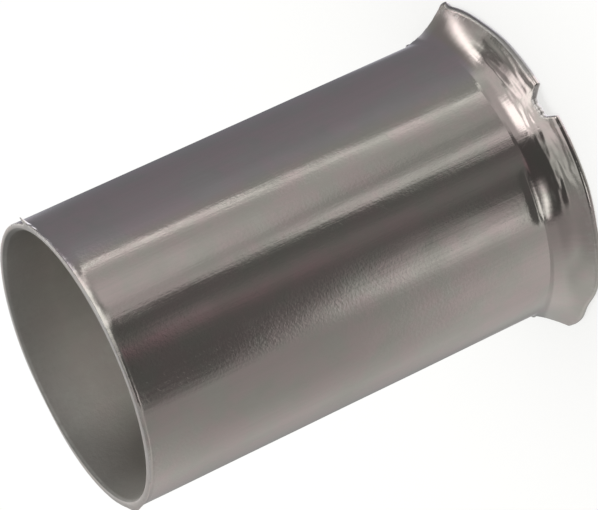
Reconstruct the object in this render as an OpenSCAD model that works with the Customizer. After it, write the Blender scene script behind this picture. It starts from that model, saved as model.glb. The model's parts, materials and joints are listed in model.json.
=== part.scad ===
// Uninsulated end sleeve (wire ferrule) for a 50 mm2 stranded conductor.
// One drawn copper tube, tinned all over, with its mouth flared out so that
// the strands slip in. It stands on the flared rim, cut end up, and its bore
// runs along Z with the rim's lowest edge at Z = 0.

/* [Barrel] */
// Bore, which takes the bare strands
bore_d = 10.3; // [5:0.1:14]
// Wall of the drawn tube
wall = 0.3; // [0.15:0.05:0.5]
// Length over all on the axis, from the flared rim to the cut end
length = 18.2; // [10:0.1:36]

/* [Flared mouth] */
// How far the rim stands out beyond the barrel, all round
flare_rise = 0.96; // [0.7:0.02:1.6]
// Slope of the conical land, measured from the axis
flare_angle = 48; // [32:1:54]
// Outside radius of the bend where the flare leaves the barrel
flare_root_r = 1.2; // [0.4:0.1:1.3]

/* [Cut end] */
// How far the cut is out of square
cut_skew = 0.8; // [0:0.1:4]
// Which side of the sleeve the skewed cut leaves longest
cut_long_side = 215; // [0:1:359]

/* [Torn rim] */
// Where the wide tear lies round the rim
wide_tear_at = 43; // [0:1:359]
// Width of the wide tear across its mouth
wide_tear_w = 4.4; // [1:0.1:5]
// How much of the flare's rise the wide tear takes, in percent
wide_tear_share = 91; // [10:1:95]
// Where the second tear lies round the rim
second_tear_at = 200; // [0:1:359]
// Width of the second tear across its mouth
second_tear_w = 2.8; // [0.8:0.1:4]
// How much of the flare's rise the second tear takes, in percent
second_tear_share = 86; // [10:1:95]
// Where the small nick lies round the rim
nick_at = 319; // [0:1:359]
// Width of the small nick across its mouth
nick_w = 1.44; // [0.4:0.02:3]
// How much of the flare's rise the small nick takes, in percent
nick_share = 30; // [5:1:80]

/* [Hidden] */

$fn = 180;

// Barrel radii
bore_r = bore_d / 2;
barrel_r = bore_r + wall;

// The rim is the rounded edge of the wall. Its section is a circle that
// touches the ground at Z = 0 and reaches out to the rim's full radius.
half_wall = wall / 2;
rim_r = barrel_r + flare_rise;
rim_centre_r = rim_r - half_wall;
rim_centre_z = half_wall;

// The bend's section turns about a point outside the barrel. The conical land
// runs on from the end of the bend, at a tangent, to the rim's circle.
bend_centre_r = barrel_r + flare_root_r;
bend_mid_r = flare_root_r + half_wall;
land_start_r = bend_centre_r - bend_mid_r * cos(flare_angle);
land_length = (rim_centre_r - land_start_r) / sin(flare_angle);
bend_centre_z = rim_centre_z + land_length * cos(flare_angle) + bend_mid_r * sin(flare_angle);

// Where the floor of each bite starts and ends, in widths from its middle
wide_tear_floor = [-0.28, 0];
second_tear_floor = [0.12, 0.2];
nick_floor = [-0.37, 0.25];

// How far a cutter runs past what it cuts
over = 1;

// The wall's section is drawn from the bend's centre, and this is the inner
// face's distance from it
bore_face_r = flare_root_r + wall;

// Section of the straight barrel, left long enough for the skewed cut
module barrel_section() {
    translate([-bore_face_r, 0])
        square([wall, length + over + barrel_r * tan(cut_skew) - bend_centre_z]);
}

// Section of the bend: a ring, kept only from the barrel's tangent down to
// the start of the land
module bend_section() {
    reach = bend_mid_r * 4;
    intersection() {
        difference() {
            circle(r = bore_face_r);
            circle(r = flare_root_r);
        }
        rotate(180)
            square(reach);
        rotate(90 + flare_angle)
            square(reach);
    }
}

// Section of the conical land and of the rounded rim at its end
module land_section() {
    rotate(flare_angle) {
        translate([-bore_face_r, -land_length])
            square([wall, land_length]);
        translate([-bend_mid_r, -land_length])
            circle(r = half_wall);
    }
}

module sleeve_blank() {
    rotate_extrude()
        translate([bend_centre_r, bend_centre_z]) {
            barrel_section();
            bend_section();
            land_section();
        }
}

// Everything above the plane of the skewed cut, which crosses the axis at the
// sleeve's length
module cut_off() {
    side = 4 * rim_r;
    rotate([0, 0, cut_long_side])
        translate([0, 0, length])
            rotate([0, -cut_skew, 0])
                translate([-side / 2, -side / 2, 0])
                    cube([side, side, 2 * barrel_r]);
}

// A bite torn out of the rim, seen from above: a flat floor between two
// sloping sides. It is as wide as width where it crosses the rim, and its floor
// takes the given percent of the flare's rise.
module rim_bite(at, width, share, floor_span) {
    mouth_r = sqrt(pow(rim_r, 2) - pow(width / 2, 2));
    floor_r = rim_r - flare_rise * share / 100;
    rotate([0, 0, at])
        translate([0, 0, -over])
            linear_extrude(height = bend_centre_z + over)
                polygon([
                    [rim_r + over, -width / 2],
                    [mouth_r, -width / 2],
                    [floor_r, width * floor_span[0]],
                    [floor_r, width * floor_span[1]],
                    [mouth_r, width / 2],
                    [rim_r + over, width / 2]
                ]);
}

module ferrule_sleeve() {
    color("#b9b4b0")
        difference() {
            sleeve_blank();
            cut_off();
            rim_bite(wide_tear_at, wide_tear_w, wide_tear_share, wide_tear_floor);
            rim_bite(second_tear_at, second_tear_w, second_tear_share, second_tear_floor);
            rim_bite(nick_at, nick_w, nick_share, nick_floor);
        }
}

ferrule_sleeve();
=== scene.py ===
import json
import math

import bpy
import numpy as np
from mathutils import Matrix, Vector, noise

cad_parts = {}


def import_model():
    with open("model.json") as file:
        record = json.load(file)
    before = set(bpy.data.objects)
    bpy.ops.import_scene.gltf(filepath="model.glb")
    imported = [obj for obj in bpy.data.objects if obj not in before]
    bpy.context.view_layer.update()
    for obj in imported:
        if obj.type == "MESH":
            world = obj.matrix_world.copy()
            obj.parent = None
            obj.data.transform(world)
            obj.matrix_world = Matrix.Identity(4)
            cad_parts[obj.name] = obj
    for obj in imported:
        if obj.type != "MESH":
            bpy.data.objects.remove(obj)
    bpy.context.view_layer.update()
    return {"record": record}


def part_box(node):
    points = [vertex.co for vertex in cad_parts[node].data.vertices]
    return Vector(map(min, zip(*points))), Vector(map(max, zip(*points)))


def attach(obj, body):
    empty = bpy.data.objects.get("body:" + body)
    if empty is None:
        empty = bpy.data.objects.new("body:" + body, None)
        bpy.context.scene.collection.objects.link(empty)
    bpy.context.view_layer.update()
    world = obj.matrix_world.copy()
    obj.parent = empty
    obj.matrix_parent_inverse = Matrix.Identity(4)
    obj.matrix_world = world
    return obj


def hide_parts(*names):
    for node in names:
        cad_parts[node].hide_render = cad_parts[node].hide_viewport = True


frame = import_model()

# The looks of an uninsulated wire ferrule: one thin tinned copper tube, cut off
# at the top and flared at the mouth that it stands on. Lengths in this script
# are in millimetres until a mesh or the camera is made, and MM turns them
# into Blender's metres. Angles are in degrees. Round the sleeve they are
# counted from the front, which is the side that faces the camera.

MM = 0.001
NODE = "ferrule_sleeve"


# ---------------------------------------------------------------- the sleeve's sizes

mounts = {mount["name"]: mount for mount in frame["record"]["mounts"]}
box_low, box_high = (Vector(corner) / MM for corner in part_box(NODE))

BORE_R = mounts["wire_bore"]["dims"]["r_mm"]
BARREL_R = mounts["barrel"]["dims"]["r_mm"]
HALF_WALL = (BARREL_R - BORE_R) / 2
MID_R = BORE_R + HALF_WALL
RIM_R = (box_high.x - box_low.x) / 2

# The flare leaves the barrel in a faint crease. It turns out quickly at first
# and ever more slowly, and reaches its full slope at the rounded rim. The sheet
# is the length of its wall from the barrel to the rim.
FLARE_ANGLE = math.radians(54)
FLARE_EASE = 1.6
FLARE_CREASE = math.radians(3.5)
FLARE_SHEET = 1.825
FLARE_REACH = RIM_R - HALF_WALL - MID_R


def flare_turn(down):
    """How far the wall has turned outwards at a distance down the flare."""
    left = 1 - np.clip(down / FLARE_SHEET, 0, 1)
    return np.maximum(FLARE_CREASE, FLARE_ANGLE * (1 - left ** FLARE_EASE))


# The flare's middle line, added up in small steps from the barrel to the rim
FLARE_STEPS = 400
flare_down = np.linspace(0, FLARE_SHEET, FLARE_STEPS + 1)
step_turn = flare_turn((flare_down[1:] + flare_down[:-1]) / 2)
flare_out = np.concatenate([[0], np.cumsum(np.sin(step_turn))]) * FLARE_SHEET / FLARE_STEPS
flare_fall = np.concatenate([[0], np.cumsum(np.cos(step_turn))]) * FLARE_SHEET / FLARE_STEPS
BEND_Z = HALF_WALL + flare_fall[-1]

# The front, and the side that the slightly skewed cut leaves longest, from +X
FRONT = 305
CUT_LONG_SIDE = 215
CUT_SKEW = math.radians(0.8)
AXIS_LENGTH = box_high.z - BARREL_R * math.tan(CUT_SKEW)


def cut_height(angle):
    """Height of the skewed cut at an angle from +X."""
    return AXIS_LENGTH + MID_R * math.tan(CUT_SKEW) * np.cos(np.radians(angle - CUT_LONG_SIDE))


def smooth(low, high, x):
    """0 below low, 1 above high, and an even S between them."""
    t = np.clip((x - low) / (high - low), 0, 1)
    return t * t * (3 - 2 * t)


def within(low, high, soft, x):
    """1 between low and high, fading to 0 across a soft edge centred on each."""
    return smooth(low - soft, low + soft, x) * (1 - smooth(high - soft, high + soft, x))


def bump(centre, half_width, x):
    """A smooth hill of height 1."""
    return np.exp(-((x - centre) / half_width) ** 2)


def table(pairs, x):
    """Reads a value off straight lines between (x, value) pairs."""
    at, values = zip(*pairs)
    return np.interp(x, at, values)


def from_front(angle):
    """Degrees round from the front, between -180 and 180, for an angle from +X."""
    return (angle - FRONT + 180) % 360 - 180


def rough_line(x, seed, scale):
    """A ragged curve between about -1 and 1, the same in each run."""
    at = Vector((x * scale, seed * 7.31, seed * 3.17))
    return noise.noise(at) + 0.5 * noise.noise(at * 2.3) + 0.25 * noise.noise(at * 5.1)


# ---------------------------------------------------------------- the torn rim

# Each bite out of the rim: its place from +X, how wide across its mouth, how
# deep, and where its floor starts and ends in widths from its middle
FLARE_RISE = RIM_R - BARREL_R
WIDE_TEAR = (43, 4.4, 0.91 * FLARE_RISE, -0.28, 0.0)
SECOND_TEAR = (200, 2.8, 0.86 * FLARE_RISE, 0.12, 0.20)
NICK = (318.2, 1.28, 0.30 * FLARE_RISE, -0.37, 0.25)

# The rim is pulled out a little in front, and pressed in lower down
PULLED_OUT = 0.05
PULLED_SIDES = (-24, 44)
PRESSED_IN = 0.13
PRESSED_AT = -71

# The tip that the wide tear leaves bent out, and the notch torn beside it
TIP_AT = 75.5
TIP_OUT = 0.12
NOTCH_AT = 82
NOTCH_DEEP = 0.08

# How ragged the rim is: all round, and more where it is torn
RIM_RAG = 0.004
TORN_RAG = 0.022


def bite_limit(angle, bite):
    """How far from the axis the rim may reach at an angle, past one bite."""
    at, width, depth, floor_from, floor_to = bite
    turn = math.radians((angle - at + 180) % 360 - 180)
    across = RIM_R * math.sin(turn)
    if abs(turn) > math.pi / 4 or abs(across) > width / 2:
        return 2 * RIM_R
    mouth = math.sqrt(RIM_R ** 2 - (width / 2) ** 2)
    floor = RIM_R - depth
    reach = np.interp(across / width, [-0.5, floor_from, floor_to, 0.5], [mouth, floor, floor, mouth])
    return reach / math.cos(turn)


def whole_rim(side):
    """The rim's radius away from its tears: pulled out in front, pressed in below."""
    pulled = PULLED_OUT * within(*PULLED_SIDES, 8, side) + TIP_OUT * bump(TIP_AT, 2.4, side)
    return RIM_R + pulled - PRESSED_IN * bump(PRESSED_AT, 9, side)


def rim_limit(angle):
    """The rim's radius at an angle, ragged where it is torn."""
    side = from_front(angle)
    whole = whole_rim(side)
    torn_to = min(bite_limit(angle, bite) for bite in (WIDE_TEAR, SECOND_TEAR, NICK))
    torn_to -= NOTCH_DEEP * bump(NOTCH_AT, 3.5, side)
    reach = min(whole, torn_to)
    torn = smooth(0.0, 0.05, whole - reach)
    rag = RIM_RAG + TORN_RAG * torn
    return reach - rag * (1 + rough_line(angle, 1, 0.9))


# ---------------------------------------------------------------- dents

# The drawn barrel's waves
BARREL_WAVE = 0.0045

# The crumpled front of the flare: how deep its creases and their finer ones are
CREASE_DEEP = 0.026
FINE_CREASE_DEEP = 0.007
CREASED_SIDES = (-22, 46)

# Each groove along the rim: mm down the flare, how deep, and the sides it runs between
GROOVES = [(1.47, 0.016, 32, 45), (0.93, 0.030, 27, 39)]
GROOVE_HALF = 0.09

# The short fold just above the flare
FOLD_DOWN = -0.14
FOLD_HALF = 0.14
FOLD_DEEP = 0.03
FOLD_SIDES = (-25, -7)


def dent(side, down):
    """How far the wall stands out of true, in mm, outwards.

    side is the angle from the front, and down is the way down the wall from
    the start of the bend, so the barrel is negative and the flare positive.
    """
    around = math.radians(side)
    place = Vector((math.cos(around), math.sin(around), 0.0)) * MID_R
    # The drawn barrel isn't dead true, and less so across than along
    out = BARREL_WAVE * noise.noise(place * 0.75 + Vector((0, 0, down * 0.3)))
    out += 0.4 * BARREL_WAVE * noise.noise(place * 2.1 + Vector((0, 7.0, down * 0.9)))
    # The front of the flare is crumpled, in creases along the rim
    crushed = smooth(0.45, 1.0, down) * within(*CREASED_SIDES, 8, side)
    wave = noise.noise(Vector((side * 0.09, down * 4.6, 4.0)))
    fine = noise.noise(Vector((side * 0.24, down * 9.0, 9.0)))
    out += crushed * (CREASE_DEEP * wave + FINE_CREASE_DEEP * fine)
    for groove_down, deep, side_from, side_to in GROOVES:
        out -= deep * bump(groove_down, GROOVE_HALF, down) * within(side_from, side_to, 4, side)
    out -= FOLD_DEEP * bump(FOLD_DOWN, FOLD_HALF, down) * within(*FOLD_SIDES, 4, side)
    return out


# ---------------------------------------------------------------- the wall and the cut

def wall_line(down):
    """Middle of the wall at a distance down it: radius, height, outward normal."""
    if down <= 0:
        return MID_R, BEND_Z - down, 1.0, 0.0
    if down > FLARE_SHEET:
        past = down - FLARE_SHEET
        r = MID_R + FLARE_REACH + past * math.sin(FLARE_ANGLE)
        z = HALF_WALL - past * math.cos(FLARE_ANGLE)
        return r, z, math.cos(FLARE_ANGLE), math.sin(FLARE_ANGLE)
    turn = float(flare_turn(down))
    r = MID_R + float(np.interp(down, flare_down, flare_out))
    z = BEND_Z - float(np.interp(down, flare_down, flare_fall))
    return r, z, math.cos(turn), math.sin(turn)


def wall_end(limit):
    """How far down the wall its rounded edge starts, for a rim of that radius."""
    past = limit - HALF_WALL - MID_R - FLARE_REACH
    if past > 0:
        return FLARE_SHEET + past / math.sin(FLARE_ANGLE)
    return float(np.interp(past + FLARE_REACH, flare_out, flare_down))


# The burr that the cut leaves: how far out it stands, how much that wanders and
# how ragged it is, and how far down the barrel it starts
BURR_OUT = 0.052
BURR_WANDER = 0.012
BURR_RAG = 0.006
BURR_TALL = 0.20
# In front it starts farther down
TALLER_BURR = 1.2
TALLER_SIDES = (6, 52)
# It swells at one place, and is flattened at another
SWELLING_AT = -93
SWELLING_OUT = 0.15
FLATTENED_AT = -172
FLATTENED = 0.135

# A spur stands out of the burr
SPUR_AT = 70
SPUR_OUT = 0.36
SPUR_UP = 0.12

# The cut's outer edge is rolled over: how far in, how far down, how little at
# the front, and how much more where it is roundest
EDGE_ROLL = 0.075
ROLL_TALL = 0.09
CRISP_FRONT = 0.3
ROUNDEST_AT = 105
ROUNDEST_MORE = 0.35

# The bore is eased where it meets the cut: mm below the cut, and mm outwards.
# It is eased more on one side.
BORE_EASE = [(0.14, 0.0), (0.09, 0.015), (0.05, 0.038), (0.02, 0.066)]
CUT_FACE_FROM = 0.095
EASED_MORE = 0.8
EASED_MORE_AT = 100


def burr(side):
    """How far the cut edge is dragged outwards, in mm."""
    height = BURR_OUT + BURR_WANDER * rough_line(side, 2, 0.12) + BURR_RAG * rough_line(side, 3, 0.7)
    flattened = FLATTENED * (bump(FLATTENED_AT, 16, side) + bump(FLATTENED_AT + 360, 16, side))
    return height + SWELLING_OUT * bump(SWELLING_AT, 6, side) - flattened


def edge_rounding(side):
    """How round the cut's outer edge is: crisp at the front, and full behind."""
    behind = float(smooth(45, 75, abs(side)))
    return CRISP_FRONT + (1 - CRISP_FRONT) * behind + ROUNDEST_MORE * bump(ROUNDEST_AT, 30, side)


# ---------------------------------------------------------------- the sleeve's mesh

COLUMNS = 640

# Rows of points: mm below the cut, and how many on the barrel, flare and edges.
# The barrel's and the flare's rows stand closer together at the flare's root.
CUT_ROWS = [0.010, 0.028, 0.06, 0.09, 0.13, 0.18, 0.24, 0.31, 0.40, 0.55]
BARREL_ROWS = 48
BARREL_ROWS_CLOSER = 1.7
FLARE_ROWS = 42
FLARE_ROWS_CLOSER = 1.2
EDGE_ROWS = 9
INNER_FLARE_ROWS = 18
INNER_BARREL_ROWS = 10

OUTSIDE, BORE, EDGE = 0, 1, 2

# The cut's rolled edge is bare metal this far to both sides of the front
BARE_SIDES = 60

# The rim's edge is dull where it is torn back this far, and between these sides,
# where its colour is also darkened with painted shade
TORN_BACK = 0.06
DULL_SHADED_RIM = (22, 74)


def column(angle):
    """One closed section of the wall, down the outside and up the bore.

    Each point is its radius, its height, its face, and how far down the wall it is.
    """
    side = from_front(angle)
    top = cut_height(angle)
    barrel_run = top - BEND_Z
    end = wall_end(rim_limit(angle))
    points = []

    def put(down, out, face):
        r, z, nr, nz = wall_line(down)
        out += dent(side, down)
        points.append((r + nr * out, z + nz * out, face, down))

    # The cut's outer edge, with its burr and spur
    drag = burr(side)
    spur = bump(SPUR_AT, 1.6, side) + 0.3 * bump(SPUR_AT - 4, 3.5, side)
    rounded = edge_rounding(side)
    burr_tall = BURR_TALL * (1 + TALLER_BURR * within(*TALLER_SIDES, 8, side))
    roll_tall = ROLL_TALL * rounded
    for below in CUT_ROWS:
        roll = 1 - math.sqrt(max(0.0, 1 - (1 - min(1.0, below / roll_tall)) ** 2))
        lift = drag * max(0.0, 1 - below / burr_tall) ** 2 - EDGE_ROLL * rounded * roll
        near = spur * bump(0.0, 0.12, below)
        r, z = BARREL_R + lift + SPUR_OUT * near, top - below + SPUR_UP * near
        bare = below < roll_tall and abs(side) < BARE_SIDES
        points.append((r, z, EDGE if bare else OUTSIDE, below - barrel_run))

    # Down the barrel and the flare
    for row in range(1, BARREL_ROWS + 1):
        share = 1 - (1 - row / BARREL_ROWS) ** BARREL_ROWS_CLOSER
        below = CUT_ROWS[-1] + (barrel_run - CUT_ROWS[-1]) * share
        put(below - barrel_run, HALF_WALL, OUTSIDE)
    for row in range(1, FLARE_ROWS + 1):
        put(end * (row / FLARE_ROWS) ** FLARE_ROWS_CLOSER, HALF_WALL, OUTSIDE)

    # Round the rim
    r, z, nr, nz = wall_line(end)
    out = dent(side, end)
    torn = wall_end(whole_rim(side)) - end > TORN_BACK
    rim_face = EDGE if torn or DULL_SHADED_RIM[0] < side < DULL_SHADED_RIM[1] else OUTSIDE
    for row in range(1, EDGE_ROWS):
        turn = math.pi * row / EDGE_ROWS
        along, across = HALF_WALL * math.sin(turn), HALF_WALL * math.cos(turn) + out
        points.append((r + nr * across + nz * along, z + nz * across - nr * along, rim_face, end))

    # Up the mouth and the bore, and over its eased edge to the cut
    for row in range(INNER_FLARE_ROWS, 0, -1):
        put(end * row / INNER_FLARE_ROWS, -HALF_WALL, BORE)
    ease_tall = BORE_EASE[0][0]
    for row in range(INNER_BARREL_ROWS, -1, -1):
        below = ease_tall + (barrel_run - ease_tall) * row / INNER_BARREL_ROWS
        points.append((BORE_R, top - below, BORE, below - barrel_run))
    wider = 1 + EASED_MORE * bump(EASED_MORE_AT, 45, side)
    for below, eased in BORE_EASE[1:]:
        points.append((BORE_R + eased * wider, top - below, BORE, below - barrel_run))
    points.append((BORE_R + CUT_FACE_FROM * wider, top, EDGE, -barrel_run))
    points.append((BARREL_R + drag - EDGE_ROLL * rounded, top, EDGE, -barrel_run))
    return points


# Painted shade in the bore, as a darker colour, by degrees round from the front:
# at its mouth, where it fades out over the depth below, and farther in
MOUTH_PAINTED_SHADE = [
    (0, 0.22), (60, 0.3), (95, 0.95), (104, 1.0), (122, 0.8), (146, 0.7), (160, 0.6),
    (176, 0.52), (192, 0.74), (212, 0.92), (236, 0.9), (270, 0.3), (360, 0.22),
]
INNER_PAINTED_SHADE = [
    (30, 0), (60, 0.6), (95, 0.8), (108, 0.5), (122, 0.4), (136, 0.33), (150, 0.28), (160, 0.2),
    (172, 0), (200, 0), (212, 0.36), (222, 0.66), (232, 0.7), (245, 0.56), (270, 0.2),
]
PAINTED_SHADE_TALL = 1.7
# How much painted shade darkens the rim's edge
RIM_PAINTED_SHADE = 0.75


def painted_shade_share(side, down, face):
    """How much painted shade darkens each point's colour: much of the bore, and part of the rim."""
    depth = down + cut_height(side + FRONT) - BEND_Z
    at_mouth = table(MOUTH_PAINTED_SHADE, side % 360) * (1 - np.clip(depth / PAINTED_SHADE_TALL, 0, 1))
    in_bore = (face == BORE) * np.maximum(table(INNER_PAINTED_SHADE, side % 360), at_mouth)
    at_rim = (face == EDGE) * (down > 0) * RIM_PAINTED_SHADE * within(*DULL_SHADED_RIM, 3, side)
    return np.maximum(in_bore, at_rim)


def wear_and_highlight_share(side, down):
    """How much each point is rubbed at the cut and the rim, and how much painted highlight lies on the
    fold.
    """
    rubbed = np.maximum(bump(down.min(), 0.3, down), bump(FLARE_SHEET, 0.25, down))
    # At the fold the share is a painted highlight, not wear
    return np.maximum(rubbed, bump(0.0, 0.16, down) * bump(-17, 8.0, side))


def store(mesh, name, shares):
    layer = mesh.attributes.new(name, "FLOAT", "POINT")
    layer.data.foreach_set("value", shares.astype(np.float32))


def build_sleeve():
    """The whole sleeve as one closed mesh.

    wall_at is each point's place on the unrolled wall, so that the drawn grain
    runs along the barrel and out over the flare. One stored share is where edges
    rub, with a painted highlight on the fold, and another is where the tin's
    colour is darkened as painted shade.
    """
    sections = []
    for i in range(COLUMNS):
        angle = math.radians(360 * i / COLUMNS)
        x, y = math.cos(angle), math.sin(angle)
        sections.append([
            (r * x, r * y, max(z, box_low.z), face, MID_R * x, MID_R * y, down)
            for r, z, face, down in column(math.degrees(angle))
        ])
    rows = len(sections[0])
    points = np.array(sections).reshape(-1, 7)
    places, face, wall_at, down = points[:, :3], points[:, 3], points[:, 4:], points[:, 6]
    faces, face_sides = [], []
    for i in range(COLUMNS):
        a, b = i * rows, (i + 1) % COLUMNS * rows
        for j in range(rows):
            k = (j + 1) % rows
            faces.append((a + j, a + k, b + k, b + j))
            face_sides.append(int(max(face[a + j], face[a + k])))
    mesh = bpy.data.meshes.new("sleeve")
    mesh.from_pydata((places * MM).tolist(), [], faces)
    mesh.polygons.foreach_set("material_index", face_sides)
    mesh.shade_smooth()
    unrolled = mesh.attributes.new("wall_at", "FLOAT_VECTOR", "POINT")
    unrolled.data.foreach_set("vector", wall_at.astype(np.float32).ravel())
    side = from_front(np.degrees(np.arctan2(points[:, 5], points[:, 4])))
    store(mesh, "wear_and_highlight", wear_and_highlight_share(side, down))
    store(mesh, "painted_shade", painted_shade_share(side, down, face))
    piece = bpy.data.objects.new("sleeve", mesh)
    bpy.context.scene.collection.objects.link(piece)
    return piece


# ---------------------------------------------------------------- finishes

class Nodes:
    """Adds nodes to one tree, each in a single call."""

    def __init__(self, tree):
        self.tree = tree

    def feed(self, socket, value):
        """Links a socket to another one, or sets its value."""
        if isinstance(value, bpy.types.NodeSocket):
            self.tree.links.new(value, socket)
        else:
            socket.default_value = value

    def add(self, kind, settings=None, **inputs):
        node = self.tree.nodes.new(kind)
        for name, value in (settings or {}).items():
            setattr(node, name, value)
        for name, value in inputs.items():
            self.feed(node.inputs[name.replace("_", " ")], value)
        return node

    def maths(self, operation, *values):
        node = self.add("ShaderNodeMath", {"operation": operation})
        for socket, value in zip(node.inputs, values):
            self.feed(socket, value)
        return node.outputs["Value"]

    def masked(self, low, high, value):
        """0 where the value is below low, 1 above high, and an even S between them."""
        node = self.add(
            "ShaderNodeMapRange",
            {"interpolation_type": "SMOOTHSTEP"},
            Value=value,
            From_Min=low,
            From_Max=high,
        )
        return node.outputs["Result"]

    def mixed(self, share, first, second):
        node = self.add("ShaderNodeMix", {"data_type": "RGBA"}, Factor=share)
        colours = [socket for socket in node.inputs if socket.type == "RGBA"]
        self.feed(colours[0], first)
        self.feed(colours[1], second)
        return [socket for socket in node.outputs if socket.type == "RGBA"][0]

    def cloud(self, place, scale, detail, roughness):
        node = self.add(
            "ShaderNodeTexNoise",
            Vector=place,
            Scale=scale,
            Detail=detail,
            Roughness=roughness,
        )
        return node.outputs["Fac"]

    def painted(self, name):
        """A value that is stored at each point of the mesh."""
        return self.add("ShaderNodeAttribute", {"attribute_name": name}).outputs


def new_group(name, inputs, outputs):
    """A shader group with named sockets: returns its tree, its Nodes and its inputs."""
    tree = bpy.data.node_groups.new(name, "ShaderNodeTree")
    for label, kind, value in inputs:
        socket = tree.interface.new_socket(name=label, in_out="INPUT", socket_type=kind)
        if value is not None:
            socket.default_value = value
    for label in outputs:
        tree.interface.new_socket(name=label, in_out="OUTPUT", socket_type="NodeSocketFloat")
    nodes = Nodes(tree)
    return tree, nodes, nodes.add("NodeGroupInput").outputs


def drawn_grain_group():
    """Fine lines along the wall, as the drawing die leaves them."""
    tree, nodes, given = new_group(
        "drawn_grain",
        [
            ("Place", "NodeSocketVector", None),
            ("Lines", "NodeSocketFloat", 9.0),
        ],
        ["Height", "Streaks"],
    )
    stretch = nodes.add("ShaderNodeVectorMath", {"operation": "MULTIPLY"})
    nodes.feed(stretch.inputs[0], given["Place"])
    nodes.feed(stretch.inputs[1], (1.0, 1.0, 0.035))
    along = stretch.outputs["Vector"]
    coarse = nodes.cloud(along, given["Lines"], 4.0, 0.62)
    wide = nodes.cloud(along, nodes.maths("MULTIPLY", given["Lines"], 0.28), 2.0, 0.5)
    nodes.add(
        "NodeGroupOutput",
        Height=nodes.maths("ADD", coarse, wide),
        Streaks=nodes.masked(0.38, 0.66, coarse),
    )
    return tree


def cloudy_plating_group():
    """Slow unevenness of the plating, and the small pits and nodules in it."""
    tree, nodes, given = new_group(
        "cloudy_plating",
        [
            ("Place", "NodeSocketVector", None),
            ("Scale", "NodeSocketFloat", 0.5),
            ("Grit", "NodeSocketFloat", 9.0),
        ],
        ["Clouds", "Height", "Tint"],
    )
    clouds = nodes.cloud(given["Place"], given["Scale"], 3.0, 0.6)
    grit = nodes.cloud(given["Place"], given["Grit"], 3.0, 0.65)
    blush = nodes.cloud(given["Place"], nodes.maths("MULTIPLY", given["Scale"], 1.3), 3.0, 0.6)
    nodes.add(
        "NodeGroupOutput",
        Clouds=nodes.masked(0.30, 0.72, clouds),
        Height=grit,
        Tint=nodes.masked(0.36, 0.64, blush),
    )
    return tree


def scuffs_group():
    """Faint straight handling marks in two directions, and rubbing on edges that wear, which on the fold
    is a painted highlight.
    """
    tree, nodes, given = new_group(
        "scuffs",
        [
            ("Place", "NodeSocketVector", None),
            ("Worn", "NodeSocketFloat", 0.0),
            ("Marks", "NodeSocketFloat", 1.0),
        ],
        ["Mask"],
    )
    directions = []
    for lean, width, length in ((0.5, 0.055, 3.0), (-0.9, 0.04, 2.2)):
        turned = nodes.add(
            "ShaderNodeMapping",
            {"vector_type": "TEXTURE"},
            Vector=given["Place"],
            Rotation=(0.0, lean, 0.6),
            Scale=(width, width, length),
        )
        directions.append(nodes.masked(0.70, 0.76, nodes.cloud(turned.outputs["Vector"], 1.0, 1.0, 0.5)))
    found = nodes.maths("MULTIPLY", nodes.maths("MAXIMUM", *directions), given["Marks"])
    patches = nodes.masked(0.42, 0.70, nodes.cloud(given["Place"], 6.0, 3.0, 0.6))
    rubbed = nodes.maths("MULTIPLY", patches, given["Worn"])
    nodes.add("NodeGroupOutput", Mask=nodes.maths("MAXIMUM", found, rubbed))
    return tree


# What each finish has alike: the plating's clouds, how far the marks show and
# what they add to the roughness, the depth of the relief, and the colour of the
# painted shade
CLOUD_SCALE = 0.5
MARKS_SHOWN = 0.15
TINT_SHARE = 0.9
STREAK_SHARE = 0.25
MARK_SHARE = 0.5
STREAKS_DULL = 0.03
MARKS_DULL = 0.10
RELIEF = 0.02 * MM
MARK_RELIEF = 0.01 * MM
MARK_STRENGTH = 0.15
PAINTED_SHADE_TONE = (0.34, 0.33, 0.31, 1)


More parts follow.
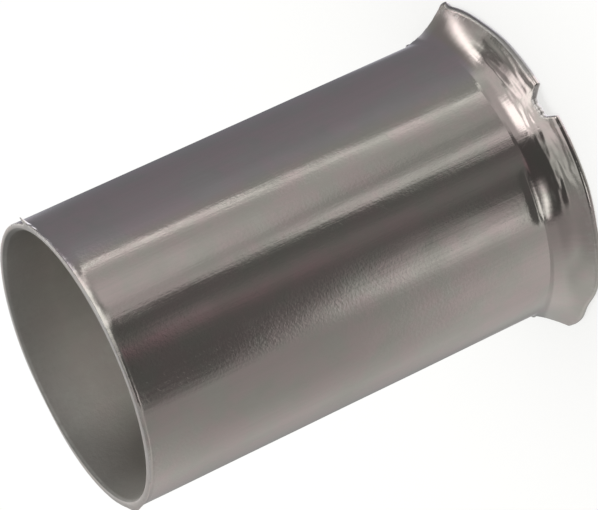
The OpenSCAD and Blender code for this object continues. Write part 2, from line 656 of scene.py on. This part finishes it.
def finish(groups, name, base, hazy, blush, rubbed, roughness, grain, grit):
    """A tin finish that is rubbed, darkened with painted shade, lit with a painted highlight on the fold
    and marked where the mesh says so.

    base, hazy, blush and rubbed are its colours, and roughness is its range.
    grain and grit are how fine and how strong the drawn lines and the pits are.
    """
    material = bpy.data.materials.new(name)
    material.use_nodes = True
    material.node_tree.nodes.clear()
    nodes = Nodes(material.node_tree)
    place = nodes.painted("wall_at")["Vector"]
    wear_and_highlight = nodes.painted("wear_and_highlight")["Fac"]
    painted_shade = nodes.painted("painted_shade")["Fac"]

    def placed(group, **inputs):
        node = nodes.add("ShaderNodeGroup", {"node_tree": groups[group]}, Place=place, **inputs)
        return node.outputs

    lines = placed("drawn_grain", Lines=grain[0])
    plating = placed("cloudy_plating", Scale=CLOUD_SCALE, Grit=grit[0])
    marks = placed("scuffs", Worn=wear_and_highlight, Marks=MARKS_SHOWN)

    colour = nodes.mixed(plating["Clouds"], base, hazy)
    colour = nodes.mixed(nodes.maths("MULTIPLY", plating["Tint"], TINT_SHARE), colour, blush)
    colour = nodes.mixed(nodes.maths("MULTIPLY", lines["Streaks"], STREAK_SHARE), colour, hazy)
    # The rubbed colour is real rubbing at the marks and edges, and a painted highlight on the fold
    colour = nodes.mixed(nodes.maths("MULTIPLY", marks["Mask"], MARK_SHARE), colour, rubbed)
    # Painted shade: the colour is darkened where the mesh says
    colour = nodes.mixed(painted_shade, colour, PAINTED_SHADE_TONE)
    dullness = nodes.maths("MULTIPLY_ADD", plating["Clouds"], roughness[1] - roughness[0], roughness[0])
    dullness = nodes.maths("MULTIPLY_ADD", lines["Streaks"], STREAKS_DULL, dullness)
    dullness = nodes.maths("MULTIPLY_ADD", marks["Mask"], MARKS_DULL, dullness)

    ridges = nodes.add(
        "ShaderNodeBump",
        Strength=grain[1],
        Distance=RELIEF,
        Height=lines["Height"],
    )
    pits = nodes.add(
        "ShaderNodeBump",
        Strength=grit[1],
        Distance=RELIEF,
        Height=plating["Height"],
        Normal=ridges.outputs["Normal"],
    )
    cuts = nodes.add(
        "ShaderNodeBump",
        {"invert": True},
        Strength=MARK_STRENGTH,
        Distance=MARK_RELIEF,
        Height=marks["Mask"],
        Normal=pits.outputs["Normal"],
    )
    shader = nodes.add(
        "ShaderNodeBsdfPrincipled",
        Base_Color=colour,
        Metallic=1.0,
        Roughness=dullness,
        Normal=cuts.outputs["Normal"],
    )
    nodes.add("ShaderNodeOutputMaterial", Surface=shader.outputs["BSDF"])
    return material


def sleeve_finishes():
    """Bright tin outside, dull tin in the bore, and the bare sheared edges."""
    groups = {tree.name: tree for tree in (drawn_grain_group(), cloudy_plating_group(), scuffs_group())}
    bright = finish(
        groups,
        "bright_tin",
        base=(0.745, 0.712, 0.648, 1),
        hazy=(0.70, 0.675, 0.607, 1),
        blush=(0.797, 0.672, 0.645, 1),
        rubbed=(0.82, 0.78, 0.74, 1),
        roughness=(0.06, 0.11),
        grain=(9.0, 0.10),
        grit=(9.0, 0.10),
    )
    # The bore's tin is given a lighter colour than the outside's: painted light that stands in for light
    # coming up the bore from the flared mouth
    dull = finish(
        groups,
        "dull_tin",
        base=(0.885, 0.870, 0.818, 1),
        hazy=(0.83, 0.818, 0.758, 1),
        blush=(0.85, 0.80, 0.76, 1),
        rubbed=(0.74, 0.72, 0.67, 1),
        roughness=(0.52, 0.62),
        grain=(7.0, 0.15),
        grit=(7.0, 0.3),
    )
    sheared = finish(
        groups,
        "sheared_edge",
        base=(0.84, 0.81, 0.78, 1),
        hazy=(0.78, 0.75, 0.72, 1),
        blush=(0.82, 0.75, 0.70, 1),
        rubbed=(0.88, 0.84, 0.80, 1),
        roughness=(0.28, 0.42),
        grain=(14.0, 0.3),
        grit=(16.0, 0.4),
    )
    return bright, dull, sheared


# ---------------------------------------------------------------- the light tent

# The tent is a ball of cloth round the sleeve. Its tones are screen levels from
# 0 to 255. In each table the first number is the turn from the camera's side,
# unless the comment above it says otherwise.
TENT_R = 300
TENT_TURNS = 720
TENT_RISES = 240

# The share of light that the bright tin gives back
TIN_REFLECTS = 0.70

# The barrel mirrors the tent between these rises: its cut end, and its flared end
CUT_END_RISE = -17
FLARED_END_RISE = -23.5

LOWER_CLOTH = [
    (-180, 101), (-165, 126), (-147, 140), (-128, 149), (-92, 127), (-60, 118),
    (60, 120), (80, 115), (92, 107), (128, 99), (180, 98),
]
# The dark flag's left edge, and how soft it is, from the cut end 0 to the flared end 1
LOWER_FLAG_LEFT = [(0, -51), (0.1, -46), (0.2, -42), (0.45, -29), (0.7, -18), (1, -25.5)]
LOWER_FLAG_SOFT = [(0, 6), (0.15, 10), (0.3, 13), (0.75, 13), (1, 5)]
LOWER_FLAG_TONE = 72

# The upper cloth near the horizon, higher up, and near the top
LEVEL_CLOTH = [
    (-180, 138), (-165, 145), (-151, 150), (-135, 163), (-115, 157), (-93, 142), (-72, 122), (-50, 112),
    (20, 145), (47, 147), (60, 145), (70, 160), (76, 140), (82, 118), (93, 108), (104, 103),
    (137, 100), (146, 112), (154, 152), (166, 222), (174, 172), (180, 138),
]
RAISED_CLOTH = [
    (-180, 146), (-165, 145), (-150, 150), (-124, 149), (-108, 136), (-94, 141), (-74, 113), (-50, 105),
    (15, 150), (49, 162), (72, 162), (79, 105), (90, 115), (104, 140), (112, 150), (125, 128),
    (135, 105), (150, 118), (166, 222), (174, 172), (180, 146),
]
HIGH_CLOTH = [
    (-180, 150), (-140, 135), (-112, 120), (-95, 112), (-60, 118), (-34, 165), (-17, 140), (0, 170),
    (16, 178), (38, 182), (54, 228), (62, 240), (76, 195), (90, 125), (104, 108), (120, 112), (180, 150),
]
TOP_TONE = 100

# The long strip light: its rise, half its width, and how much of it is there
STRIP_RISE = [
    (60, 16), (84, 20.5), (98, 23.5), (110, 22.8), (122, 22.6), (130, 23), (136, 22.4), (140, 19.8),
    (144, 20.5),
]
STRIP_HALF = [(60, 8), (88, 9.3), (104, 10), (116, 8.7), (128, 6.1), (134, 4.6), (138, 3.0), (144, 2.4)]
STRIP_SHARE = [(76, 0), (84, 1), (128, 1), (134, 0.8), (141, 0.5), (144, 0.12), (148, 0)]
STRIP_TONE = 262
STRIP_UPPER_EDGE = 0.82

# The dark gap over the strip light: its rise, and how much of it is there
GAP_RISE = [(60, 31), (68, 32), (79, 35), (99, 41), (108, 46)]
GAP_SHARE = [(56, 0), (63, 0.8), (72, 1), (108, 1), (114, 0)]
GAP_TONE = 84

# The dark flag round the camera, whose right edge depends on the rise
FLAG_RIGHT = [(-16, 19.5), (-11, 12), (5, 11), (35, 14)]
FLAG_TONE = 59
CARD_TONE = 258

# The slit in the flag: its rise, and its tone
SLIT_RISE = [(-50, -10), (-36, 3), (-22, 4)]
SLIT_TONE = [(-50, 200), (-36, 235), (-24, 140)]

UNDER_CLOTH = [
    (-180, 215), (-90, 118), (-40, 138), (0, 145), (20, 215), (50, 225), (85, 210), (110, 212),
    (135, 250), (180, 250),
]
PATCH_TONE = 68


def screen(level):
    """Scene brightness of a screen level from 0 to 255."""
    v = np.asarray(level) / 255
    return np.where(v <= 0.04045, v / 12.92, ((v + 0.055) / 1.055) ** 2.4)


def laid_over(tone, share, new_tone):
    """Covers a tone with a new one, by that share."""
    return tone + share * (new_tone - tone)


def side_cloth(turn, up):
    """Tone of the tent's lower cloth, which the barrel mirrors.

    turn is from the camera's side, and up above the horizon. low runs from 0
    at the barrel's cut end to 1 at its flared end.
    """
    low = np.clip((CUT_END_RISE - up) / (CUT_END_RISE - FLARED_END_RISE), 0, 1)
    near_cut = 1 - smooth(0, 0.25, low)
    tone = table(LOWER_CLOTH, turn)
    # Towards the flared end the cloth is lighter on the left, and at the back
    tone = tone + smooth(0.5, 1, low) * (26 * bump(-84, 32, turn) + 8 * bump(-142, 10, turn))
    tone = tone + smooth(0.8, 1, low) * (60 * smooth(150, 174, turn) + 55 * smooth(160, 180, -turn))
    # A bright seam beside the flag
    tone = tone + 44 * smooth(0.25, 0.72, low) * bump(-43.5, 9.5, turn)
    # Light cloth to the right of the camera, in folds, with a bright seam at its end
    folds = 153 - 25 * low + 36 * smooth(0.1, 0.95, low) * bump(21, 3.5, turn)
    folds = folds - 11 * (1 - smooth(0, 0.2, low)) * bump(23, 4, turn)
    folds = folds - 18 * bump(26 + 6 * low, 4.5, turn) + (70 - 25 * low) * bump(65.2 - 6 * low, 2.2, turn)
    folds = folds - 17 * (1 - smooth(0.1, 0.7, low)) * bump(54, 7, turn)
    folds = folds + 30 * smooth(0.35, 1, low) * bump(56, 6, turn)
    folds_end = 68 - 6.2 * low
    in_folds = smooth(12, 17, turn) * (1 - smooth(folds_end - 1.0, folds_end + 1.0, turn))
    tone = laid_over(tone, in_folds, folds)
    # Dark flag round the camera, with a soft slanting edge on its left
    left = table(LOWER_FLAG_LEFT, low)
    soft = table(LOWER_FLAG_SOFT, low)
    right = 19.6 - 5.3 * low - 2.2 * smooth(0.8, 1, low)
    flag = LOWER_FLAG_TONE + 18 * bump(-3, 9, turn) - 3 * bump(-33, 10, turn) * (1 - low)
    flag = flag + 9 * near_cut * bump(-3, 6, turn)
    in_flag = smooth(left - soft, left + soft, turn) * (1 - smooth(right - 2, right + 2, turn))
    return laid_over(tone, in_flag, flag)


def upper_cloth(turn, up):
    """Tone of the tent's upper cloth and its lights, which the flare and the cut mirror."""
    tone = laid_over(table(LEVEL_CLOTH, turn), smooth(5, 22, up), table(RAISED_CLOTH, turn))
    tone = laid_over(tone, smooth(34, 54, up), table(HIGH_CLOTH, turn))
    tone = laid_over(tone, smooth(70, 92, up), TOP_TONE)
    # The long strip light to the right, falling away behind, and a dark gap over it
    strip_rise = table(STRIP_RISE, turn)
    strip_half = table(STRIP_HALF, turn) * np.where(up > strip_rise, STRIP_UPPER_EDGE, 1)
    tone = laid_over(tone, table(STRIP_SHARE, turn) * bump(strip_rise, strip_half, up), STRIP_TONE)
    tone = laid_over(tone, table(GAP_SHARE, turn) * bump(table(GAP_RISE, turn), 4.6, up), GAP_TONE)
    # A small light that the bent tip mirrors
    tone = tone + 80 * bump(147.5, 2.2, turn) * bump(14.5, 3.5, up)
    # Dark flag round the camera, and the leaning window card beside it
    in_flag = within(-52, table(FLAG_RIGHT, up), 4, turn) * (1 - smooth(44, 58, up))
    tone = laid_over(tone, in_flag, FLAG_TONE)
    leaning = turn + 0.12 * (up - 25)
    tone = laid_over(tone, within(17, 43, 5.5, leaning) * within(8, 42, 7.5, up), CARD_TONE)
    # A slit in the flag, low to the left, that the fold at the flare's root mirrors
    in_slit = within(-50, -22, 2.5, turn) * bump(table(SLIT_RISE, turn), 14, up) * smooth(-16, -10, up)
    return laid_over(tone, in_slit, table(SLIT_TONE, turn))


def tent_tone(turn, up):
    """Tone of the whole tent, with white cloth under the sleeve."""
    tone = laid_over(side_cloth(turn, up), smooth(-16.3, -12.8, up), upper_cloth(turn, up))
    # The cloth under the sleeve, which the burr and the bore mirror
    under_top = -28 + 3 * within(14, 80, 6, turn)
    tone = laid_over(tone, 1 - smooth(under_top - 8, under_top, up), table(UNDER_CLOTH, turn))
    # Dark patch low to the left, which the fold above the flare mirrors
    in_patch = within(-52, -8, 4, turn) * within(-45, -26.2, 1.5, up)
    return laid_over(tone, in_patch, PATCH_TONE)


def tent_colours(turn, up):
    """Brightness and tint of the tent: violet to the right, and rosy in the flag."""
    tone = screen(tent_tone(turn, up)) / TIN_REFLECTS
    violet = within(74, 200, 6, turn) * (1 - smooth(-8, 4, up))
    rosy = bump(-7, 7, turn) * within(-20.5, -11, 2.5, up)
    red = tone * (1 + 0.16 * rosy)
    green = tone * (1 - 0.01 * violet - 0.07 * rosy)
    blue = tone * (1 + 0.11 * violet)
    return np.stack([red, green, blue, np.ones_like(tone)], axis=-1)


def light_tent():
    """A round cloth tent that only reflections see, toned by direction."""
    rises = -90 + 180 * np.arange(TENT_RISES + 1) / TENT_RISES
    angles = np.arange(TENT_TURNS) * 360 / TENT_TURNS
    up, angle = np.meshgrid(rises, angles, indexing="ij")
    a, e = np.radians(angle), np.radians(up)
    rays = np.stack([np.cos(a) * np.cos(e), np.sin(a) * np.cos(e), np.sin(e)], axis=-1)
    verts = (rays * TENT_R + np.array([0, 0, AXIS_LENGTH / 2])) * MM
    faces = []
    for j in range(TENT_RISES):
        for i in range(TENT_TURNS):
            k = (i + 1) % TENT_TURNS
            low, high = j * TENT_TURNS, (j + 1) * TENT_TURNS
            faces.append((low + i, low + k, high + k, high + i))
    mesh = bpy.data.meshes.new("light_tent")
    mesh.from_pydata(verts.reshape(-1, 3).tolist(), [], faces)
    mesh.shade_smooth()
    cloth = mesh.attributes.new("cloth", "FLOAT_COLOR", "POINT")
    cloth.data.foreach_set("color", tent_colours(from_front(angle), up).astype(np.float32).ravel())
    tent = bpy.data.objects.new("light_tent", mesh)
    bpy.context.scene.collection.objects.link(tent)
    material = bpy.data.materials.new("tent_cloth")
    material.use_nodes = True
    material.node_tree.nodes.clear()
    nodes = Nodes(material.node_tree)
    glow = nodes.add("ShaderNodeEmission", Color=nodes.painted("cloth")["Color"])
    nodes.add("ShaderNodeOutputMaterial", Surface=glow.outputs["Emission"])
    mesh.materials.append(material)
    for seen_by in ("camera", "diffuse", "transmission", "shadow", "volume_scatter"):
        setattr(tent, "visible_" + seen_by, False)


# ---------------------------------------------------------------- floor and world

FLOOR_HALF = 3000
# What the card gives back, and what it glows with where a ray sees it directly
FLOOR_WHITE = 0.36
FLOOR_GLOW = 1 - FLOOR_WHITE + 0.02
FLOOR_COLOUR = (FLOOR_WHITE, FLOOR_WHITE, FLOOR_WHITE * 0.99, 1)
FLOOR_GLOW_COLOUR = (1, 1, 0.985, 1)


def floor():
    """A white card. The camera sees it as full white, with the sleeve's shadow on it."""
    half = FLOOR_HALF * MM
    card = [(-half, -half, 0), (half, -half, 0), (half, half, 0), (-half, half, 0)]
    mesh = bpy.data.meshes.new("floor")
    mesh.from_pydata(card, [], [(0, 1, 2, 3)])
    plane = bpy.data.objects.new("floor", mesh)
    bpy.context.scene.collection.objects.link(plane)
    material = bpy.data.materials.new("white_card")
    material.use_nodes = True
    material.node_tree.nodes.clear()
    nodes = Nodes(material.node_tree)
    path = nodes.add("ShaderNodeLightPath").outputs
    seen = nodes.maths("MAXIMUM", path["Is Camera Ray"], path["Is Glossy Ray"])
    seen = nodes.maths("MAXIMUM", seen, path["Is Transmission Ray"])
    shader = nodes.add(
        "ShaderNodeBsdfPrincipled",
        Base_Color=FLOOR_COLOUR,
        Roughness=1.0,
        Specular_IOR_Level=0.0,
        Emission_Color=FLOOR_GLOW_COLOUR,
        Emission_Strength=nodes.maths("MULTIPLY", seen, FLOOR_GLOW),
    )
    nodes.add("ShaderNodeOutputMaterial", Surface=shader.outputs["BSDF"])
    mesh.materials.append(material)
    plane.visible_glossy = False


def world():
    """Even white light from all round, which gives the floor its soft shadow."""
    surround = bpy.data.worlds.new("studio")
    surround.use_nodes = True
    background = surround.node_tree.nodes["Background"]
    background.inputs["Color"].default_value = (1, 1, 1, 1)
    background.inputs["Strength"].default_value = 1.0
    bpy.context.scene.world = surround


# ---------------------------------------------------------------- the camera

CAMERA_AIM = (0.165, 0.116, 8.754)
CAMERA_AZIMUTH = math.radians(35)
CAMERA_ELEVATION = math.radians(20)
CAMERA_ROLL = math.radians(115.02)
CAMERA_DISTANCE = 133.5
CAMERA_LENS = 222.7


def camera():
    """The camera, as far round and as high up as its azimuth and elevation say."""
    level = math.cos(CAMERA_ELEVATION)
    back = Vector((
        math.sin(CAMERA_AZIMUTH) * level,
        -math.cos(CAMERA_AZIMUTH) * level,
        math.sin(CAMERA_ELEVATION),
    ))
    data = bpy.data.cameras.new("camera")
    data.sensor_width = 36
    data.lens = CAMERA_LENS
    data.clip_start, data.clip_end = 0.01, 20
    eye = bpy.data.objects.new("camera", data)
    bpy.context.scene.collection.objects.link(eye)
    turn = (-back).to_track_quat("-Z", "Y").to_matrix().to_4x4() @ Matrix.Rotation(-CAMERA_ROLL, 4, "Z")
    place = Vector(CAMERA_AIM) * MM + back * (CAMERA_DISTANCE * MM)
    eye.matrix_world = Matrix.Translation(place) @ turn
    bpy.context.scene.camera = eye


sleeve = build_sleeve()
for material in sleeve_finishes():
    sleeve.data.materials.append(material)
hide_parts(NODE)
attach(sleeve, "root")
light_tent()
floor()
world()
camera()
bpy.context.scene.view_settings.view_transform = "Standard"
